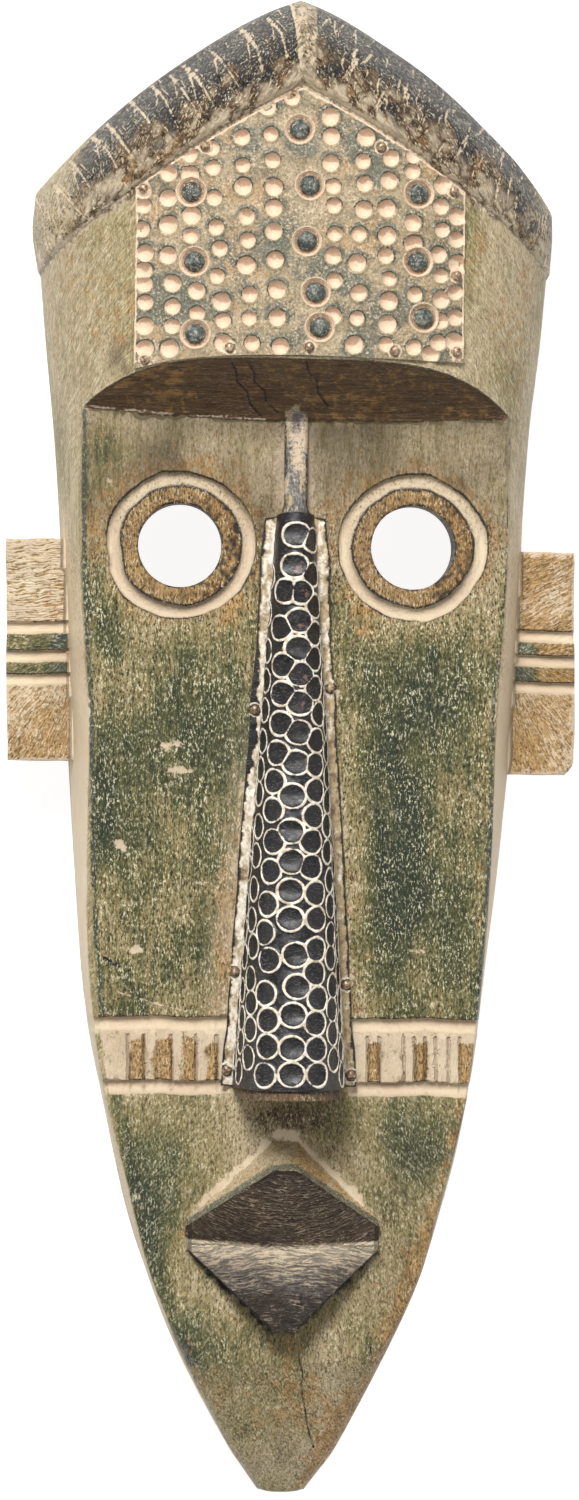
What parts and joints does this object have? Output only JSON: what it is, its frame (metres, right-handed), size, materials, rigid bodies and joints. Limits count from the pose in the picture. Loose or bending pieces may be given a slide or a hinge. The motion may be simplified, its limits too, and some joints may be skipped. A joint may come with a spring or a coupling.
{
  "type": "wooden mask",
  "caption": "Long carved wooden face mask with a gabled crest, pierced round eyes, wedge nose and ear blocks, and embossed metal sheets on forehead and nose.",
  "frame": {"origin": "under the middle of the mask, on the plane of its back rim", "axes": "+Z out of the face, +Y to the top of the head, +X to the viewer's right"},
  "size_m": [0.191, 0.5, 0.0898],
  "materials": {
    "painted_wood": "worn green, ochre and cream paint over carved wood, matt to satin",
    "forehead_sheet": "embossed sheet metal with cream paint rubbed into its dents and teal-grey stain",
    "nose_sheet": "embossed sheet metal, near-black and half glossy, with cream paint in its rings",
    "tack_metal": "dark tack heads, worn and half glossy"
  },
  "bodies": {
    "root": {"mask_body": "painted_wood", "forehead_plate": "forehead_sheet", "nose_plate": "nose_sheet", "forehead_tack_1": "tack_metal", "forehead_tack_2": "tack_metal", "forehead_tack_3": "tack_metal", "forehead_tack_4": "tack_metal", "forehead_tack_5": "tack_metal", "forehead_tack_6": "tack_metal", "forehead_tack_7": "tack_metal", "forehead_tack_8": "tack_metal", "forehead_tack_9": "tack_metal", "forehead_tack_10": "tack_metal", "nose_tack_1": "tack_metal", "nose_tack_2": "tack_metal", "nose_tack_3": "tack_metal", "nose_tack_4": "tack_metal", "nose_tack_5": "tack_metal", "nose_tack_6": "tack_metal"}
  },
  "joints": []
}
